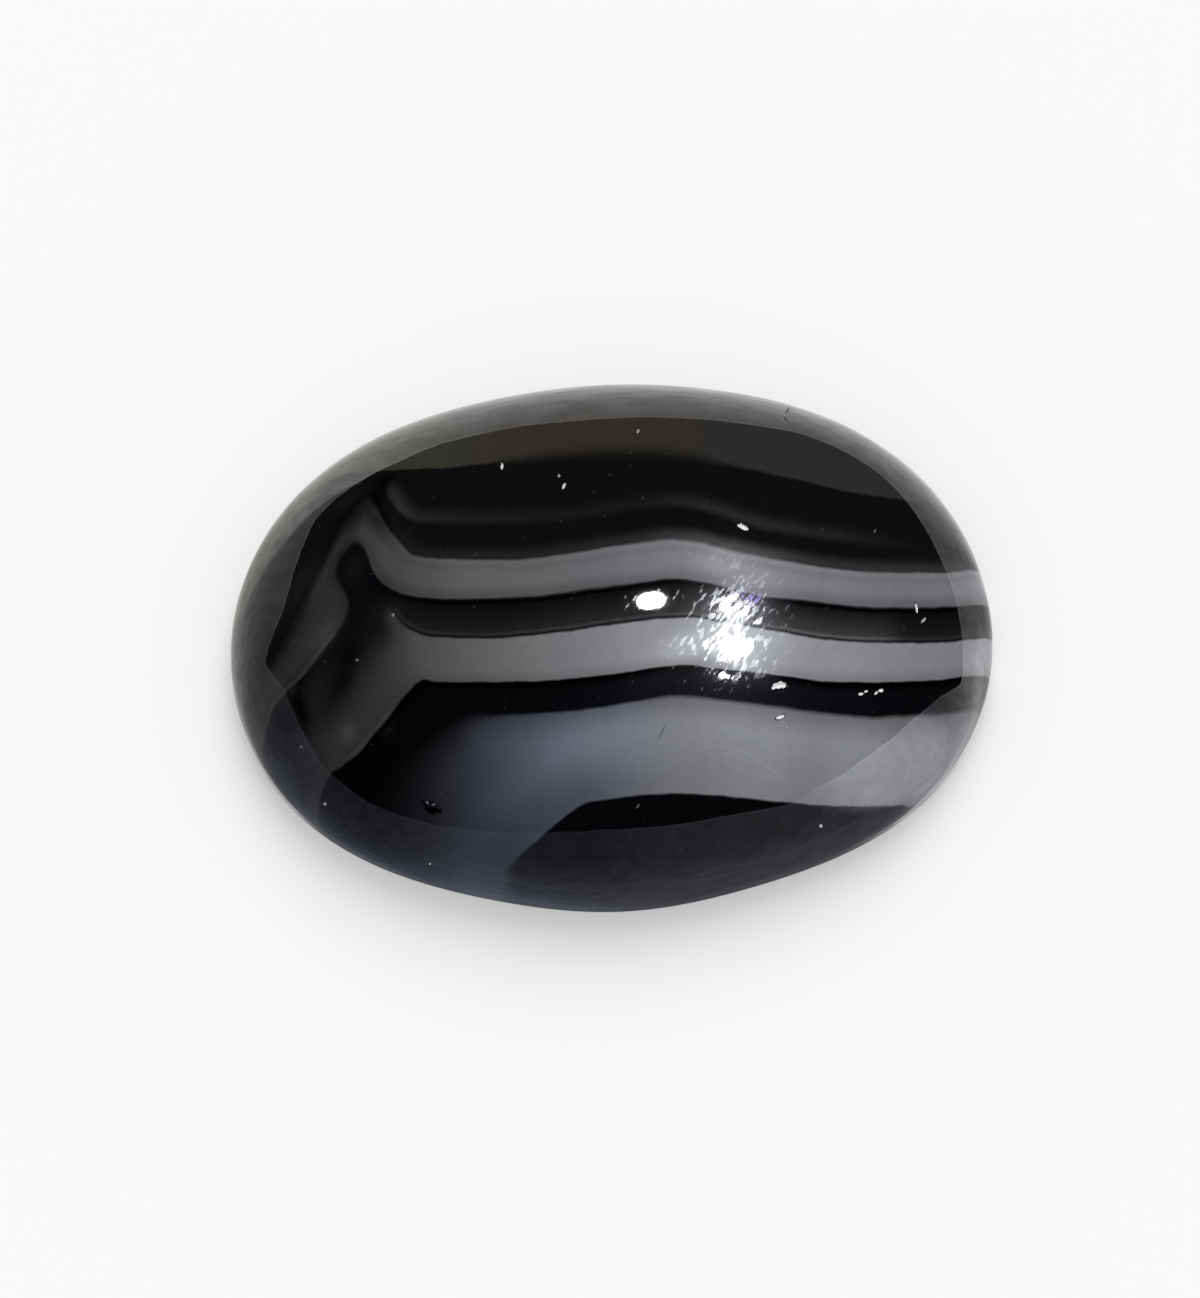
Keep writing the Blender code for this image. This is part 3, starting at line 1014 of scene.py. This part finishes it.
mirrorRoom = {
    "radius": 1.0,
    "columns": 240,
    "rows": 40,
    "rowSpread": 1.3,                # above 1 the rows lie closer together near the edge
    # where the polish mirrors the upper edge of the lit surfaces, in the photograph's pixels
    "mirroredEdge": (
        (289, 592), (298.5, 559.5), (306, 540), (315, 521), (332, 503), (352, 487.5), (378, 472),
        (400, 462), (440, 445), (480, 435), (520, 427), (560, 423), (600, 420), (640, 418), (700, 420),
        (760, 427), (800, 434), (840, 450), (880, 475), (905, 500), (925, 529), (940, 558), (949, 580),
        (956, 602), (961, 630), (963, 660), (962, 680), (960, 686), (950, 692), (940, 698), (935, 702),
        (925, 711), (919, 716), (910, 722), (900, 732), (890, 741), (880, 747.5), (870, 756),
        (860, 762), (850, 770), (840, 777), (830, 782), (820, 787), (810, 793), (800, 801), (786, 806),
        (760, 811), (720, 818), (680, 825), (640, 829), (600, 831), (560, 833), (520, 834), (480, 832),
        (440, 827), (400, 816), (370, 804), (345, 786), (328, 772), (310, 745), (295, 715), (285, 690),
        (277, 681), (270, 672), (265, 665), (272, 639), (282, 615),
    ),
    # light from those surfaces: azimuth, then the light at their edge and at the two glowDepths
    "glow": (
        (-180, 0.24, 0.50, 0.36), (-170, 0.17, 0.34, 0.25), (-160, 0.23, 0.34, 0.28),
        (-145, 0.15, 0.24, 0.25), (-128, 0.17, 0.19, 0.22), (-118, 0.19, 0.25, 0.27),
        (-105, 0.16, 0.36, 0.33), (-92, 0.17, 0.38, 0.30), (-80, 0.26, 0.44, 0.25),
        (-66, 0.30, 0.44, 0.20), (-50, 0.36, 0.40, 0.22), (-38, 0.40, 0.44, 0.22),
        (-20, 0.42, 0.62, 0.36), (-8, 0.50, 1.00, 0.62), (-2, 0.70, 1.15, 1.10), (5, 1.45, 1.55, 0.55),
        (9, 1.50, 1.62, 0.50), (14, 0.62, 0.98, 0.60), (17, 0.50, 0.82, 0.72), (25, 0.70, 0.52, 0.80),
        (35, 0.56, 0.52, 0.80), (45, 0.62, 1.02, 1.10), (50, 0.60, 1.12, 1.15), (60, 0.52, 1.18, 1.20),
        (75, 0.55, 1.18, 1.18), (95, 0.62, 1.05, 1.10), (110, 0.62, 1.08, 1.10),
        (125, 0.50, 0.82, 0.90), (150, 0.45, 0.78, 0.90), (168, 0.42, 0.76, 0.84),
    ),
    # lower edge of a greyer sheet at the upper left. the paper under it is bright: azimuth, then
    # the light level with the stone and at paperDepth
    "sheetEdge": (
        (104, 40.0), (114, 12.0), (122, 0.0), (127, -4.2), (131, -6.5), (135, -9.1), (140, -10.7),
        (145, -16.0), (149, -25.3), (152, -33.0), (158, -60.0), (166, -90.0),
    ),
    "paperGlow": (
        (92, 0.60, 1.00), (104, 0.65, 1.05), (112, 0.94, 1.05), (121, 1.26, 1.00), (132, 1.42, 0.78),
        (145, 0.98, 0.80), (160, 0.80, 0.80),
    ),
    # a bright card at the right front: its light by azimuth and by elevation, and its lower edge
    "cardGlow": (
        (-62, 0.0), (-57, 0.30), (-54, 0.60), (-50, 0.90), (-44, 1.55), (-38, 1.65), (-31, 1.75),
        (-22, 1.75), (-16, 1.30), (-12, 0.55), (-9, 0.40), (-5, 0.50), (-2, 0.65), (1, 0.0),
    ),
    "cardFade": ((-60, 0.56), (-37, 0.62), (-6, 1.0)),
    "cardFoot": ((-62, 12.0), (-50, -22.0), (-38, -40.0), (-26, -58.0), (-20, -61.0), (0, -62.0)),
    "glowDepths": (32, 65),          # degrees down
    "paperDepth": 40,
    "cardSoftness": 12,              # degrees over which the card's lower edge fades
    "noPaper": -20.0,                # beside the sheet the paper doesn't show: as far under its edge
    "paperColor": (1.0, 0.985, 0.95),
    "frontColor": ((0.86, 0.96, 1.21), (0.95, 0.97, 1.08)),   # left and right
    "frontTurn": (-0.4, 0.5),        # from left to right
    "frontStart": (0.05, -0.30),     # from white to the front's own colour
    "sheetFade": 0.4,
    "edgeLift": 0.55,                # the lit surfaces' upper edge shines a little more
    "edgeLiftFade": (1.3, 0.3),
    "mottle": {"scale": 22.0, "amount": 1.10, "detail": 4.0, "stretch": (1.0, 1.0, 5.0)},
}


def makeFloor(look):
    bm = bmesh.new()
    bmesh.ops.create_circle(bm, cap_ends=True, segments=look["sides"], radius=look["radius"])
    mesh = bpy.data.meshes.new("floor")
    bm.to_mesh(mesh)
    bm.free()
    floor = bpy.data.objects.new("floor", mesh)
    floor.location.z = stoneLow.z
    bpy.context.scene.collection.objects.link(floor)
    material = bpy.data.materials.new("floor_paper")
    material.use_nodes = True
    shader = material.node_tree.nodes["Principled BSDF"]
    shader.inputs["Base Color"].default_value = (*look["color"], 1.0)
    shader.inputs["Roughness"].default_value = look["roughness"]
    shader.inputs["Specular IOR Level"].default_value = 0.0
    shader.inputs["Emission Color"].default_value = (*look["glow"], 1.0)
    shader.inputs["Emission Strength"].default_value = 1.0
    mesh.materials.append(material)
    floor.visible_glossy = False


def makeSky(light):
    world = bpy.data.worlds.new("sky")
    world.use_nodes = True
    bpy.context.scene.world = world
    tree = world.node_tree
    tree.nodes.clear()
    path = addNode(tree, "ShaderNodeLightPath")
    sky = addNode(tree, "ShaderNodeBackground")
    feed(tree, sky.inputs["Color"], light["sky"])
    backdrop = addNode(tree, "ShaderNodeBackground")
    feed(tree, backdrop.inputs["Color"], light["backdrop"])
    mix = addNode(tree, "ShaderNodeMixShader")
    feed(tree, mix.inputs["Fac"], path.outputs["Is Camera Ray"])
    feed(tree, mix.inputs[1], sky.outputs["Background"])
    feed(tree, mix.inputs[2], backdrop.outputs["Background"])
    out = addNode(tree, "ShaderNodeOutputWorld")
    feed(tree, out.inputs["Surface"], mix.outputs["Shader"])
    world.cycles_visibility.glossy = False


def aimedLamp(name, data, place, aim):
    lamp = bpy.data.objects.new(name, data)
    lamp.location = place
    lamp.rotation_euler = (Vector(place) - aim).to_track_quat("Z", "Y").to_euler()
    bpy.context.scene.collection.objects.link(lamp)
    return lamp


# a point on a ball of radius 1, at an azimuth and an elevation
def toward(azimuth, elevation):
    turn, rise = math.radians(azimuth), math.radians(elevation)
    return Vector((math.cos(turn) * math.cos(rise), math.sin(turn) * math.cos(rise), math.sin(rise)))


def makeBroadLamp(light):
    data = bpy.data.lights.new("broad_lamp", "SUN")
    data.angle = math.radians(light["spread"])
    data.energy = light["power"]
    lamp = aimedLamp("broad_lamp", data, toward(light["azimuth"], light["elevation"]), Vector())
    lamp.visible_glossy = False


# a lamp that shows in the polish and lights nothing else; its power gives it the radiance
def makeGlintLamp(light):
    data = bpy.data.lights.new(light["name"], "AREA")
    data.shape = "ELLIPSE"
    data.size, data.size_y = light["size"]
    data.color = light["color"]
    data.energy = light["radiance"] * math.pi ** 2 * data.size * data.size_y / 4
    lamp = aimedLamp(light["name"], data, light["place"], Vector((0.0, 0.0, stoneHigh.z)))
    lamp.visible_diffuse = False


# how far out a point lies: 1 on the dome
def domeLevel(point, form):
    angle = math.atan2(point[1], point[0])
    fitX, fitY = ovalFit(form)[1]
    radius = ovalRadius(angle, form) * math.hypot(fitX * math.cos(angle), fitY * math.sin(angle))
    rise = (point[2] - stoneLow.z - form["girdleHeight"]) / (form["height"] - form["girdleHeight"])
    return (math.hypot(point[0], point[1]) / radius) ** 2 + max(rise, 0.0) ** 2


def domeNormal(point, form):
    step = 0.01 * mm                 # small beside the dome
    slope = []
    for axis in range(3):
        ahead, behind = point.copy(), point.copy()
        ahead[axis] += step
        behind[axis] -= step
        slope.append(domeLevel(ahead, form) - domeLevel(behind, form))
    return Vector(slope).normalized()


# the spot in the room, as azimuth and elevation, that the polish mirrors at a pixel
def mirroredSpot(tree, x, y, radius):
    place = surfacePoint(tree, x, y)
    ray = pixelRay(cameraSetup, x, y).reflect(domeNormal(place, stoneForm))
    along = place.dot(ray)
    spot = place + ray * (math.sqrt(along ** 2 - place.length_squared + radius ** 2) - along)
    return math.degrees(math.atan2(spot.y, spot.x)), math.degrees(math.asin(spot.z / radius))


# a table's value at each azimuth, read on around the room
def byAzimuth(table, azimuths, column=1):
    return np.interp(azimuths, [row[0] for row in table], [row[column] for row in table], period=360)


# a table's value at each angle, without going around
def byAngle(table, angles):
    return np.interp(angles, *zip(*table))


# 0 to 1 as an angle goes down from the first to the second
def goingDown(heights, first, second):
    return np.clip((-heights - first) / (second - first), 0.0, 1.0)


# a sphere open above the mirrored edge, one column of the grid for each azimuth
def makeRoomMesh(room, edge):
    bm = bmesh.new()
    bmesh.ops.create_grid(bm, x_segments=room["columns"], y_segments=room["rows"], size=0.5)
    for vert in bm.verts:
        azimuth = vert.co.x * 360.0
        top = float(byAzimuth(edge, azimuth))
        elevation = top + (-90.0 - top) * (0.5 - vert.co.y) ** room["rowSpread"]
        vert.co = toward(azimuth, elevation) * room["radius"]
    bmesh.ops.remove_doubles(bm, verts=bm.verts, dist=1e-5)
    return bm


def layRoomLight(mesh, room, edge, azimuths, heights):
    nearDepth, underDepth = room["glowDepths"]
    atEdge, near, under = (byAzimuth(room["glow"], azimuths, column) for column in (1, 2, 3))
    light = atEdge + (near - atEdge) * goingDown(heights, 0, nearDepth)
    light += (under - near) * goingDown(heights, nearDepth, underDepth)
    card = byAngle(room["cardGlow"], azimuths) * byAngle(room["cardFade"], heights)
    foot = byAngle(room["cardFoot"], azimuths)
    card *= np.clip((heights - foot) / room["cardSoftness"], 0.0, 1.0)
    addAttribute(mesh, "light", np.maximum(light, card))
    sheet = byAngle(room["sheetEdge"], azimuths) - heights
    sheet[(azimuths < room["sheetEdge"][0][0]) | (azimuths > room["sheetEdge"][-1][0])] = room["noPaper"]
    addAttribute(mesh, "sheet", sheet)
    paper, beneath = (byAzimuth(room["paperGlow"], azimuths, column) for column in (1, 2))
    addAttribute(mesh, "paper", paper + (beneath - paper) * goingDown(heights, 0, room["paperDepth"]))
    addAttribute(mesh, "fromEdge", byAzimuth(edge, azimuths) - heights)


def makeRoomGlow(room):
    material = bpy.data.materials.new("mirror_room")
    material.use_nodes = True
    tree = material.node_tree
    tree.nodes.clear()
    place = addNode(tree, "ShaderNodeTexCoord").outputs["Object"]
    x, y = splitVector(tree, place)[:2]
    front = mixColor(tree, ramp(tree, x, *room["frontTurn"]), *room["frontColor"])
    front = mixColor(tree, ramp(tree, y, *room["frontStart"]), (1.0, 1.0, 1.0), front)
    color = scaleColor(tree, front, readAttribute(tree, "light"))
    paper = scaleColor(tree, room["paperColor"], readAttribute(tree, "paper"))
    beneath = ramp(tree, readAttribute(tree, "sheet"), -room["sheetFade"], room["sheetFade"])
    color = mixColor(tree, beneath, color, paper)
    lift = ramp(tree, readAttribute(tree, "fromEdge"), *room["edgeLiftFade"])
    shade = add(tree, 1.0, multiply(tree, lift, room["edgeLift"]))
    shade = add(tree, shade, swing(tree, place, **room["mottle"]))
    glow = addNode(tree, "ShaderNodeEmission")
    feed(tree, glow.inputs["Color"], scaleColor(tree, color, shade))
    out = addNode(tree, "ShaderNodeOutputMaterial")
    feed(tree, out.inputs["Surface"], glow.outputs["Emission"])
    return material


def makeMirrorRoom(room):
    edge = sorted(mirroredSpot(stoneTree, x, y, room["radius"]) for x, y in room["mirroredEdge"])
    bm = makeRoomMesh(room, edge)
    mesh = bpy.data.meshes.new("mirror_room")
    bm.to_mesh(mesh)
    points = meshPoints(bm) / room["radius"]
    bm.free()
    azimuths = np.degrees(np.arctan2(points[:, 1], points[:, 0]))
    heights = np.degrees(np.arcsin(np.clip(points[:, 2], -1.0, 1.0)))
    layRoomLight(mesh, room, edge, azimuths, heights)
    mesh.materials.append(makeRoomGlow(room))
    piece = bpy.data.objects.new("mirror_room", mesh)
    bpy.context.scene.collection.objects.link(piece)
    piece.visible_camera = False
    piece.visible_diffuse = False
    piece.visible_shadow = False


makeFloor(floorLook)
makeSky(skyLight)
makeBroadLamp(broadLamp)
for light in glintLamps:
    makeGlintLamp(light)
makeMirrorRoom(mirrorRoom)
bpy.context.scene.view_settings.view_transform = "Standard"
bpy.context.scene.view_settings.look = "None"
print("floor and lights placed")
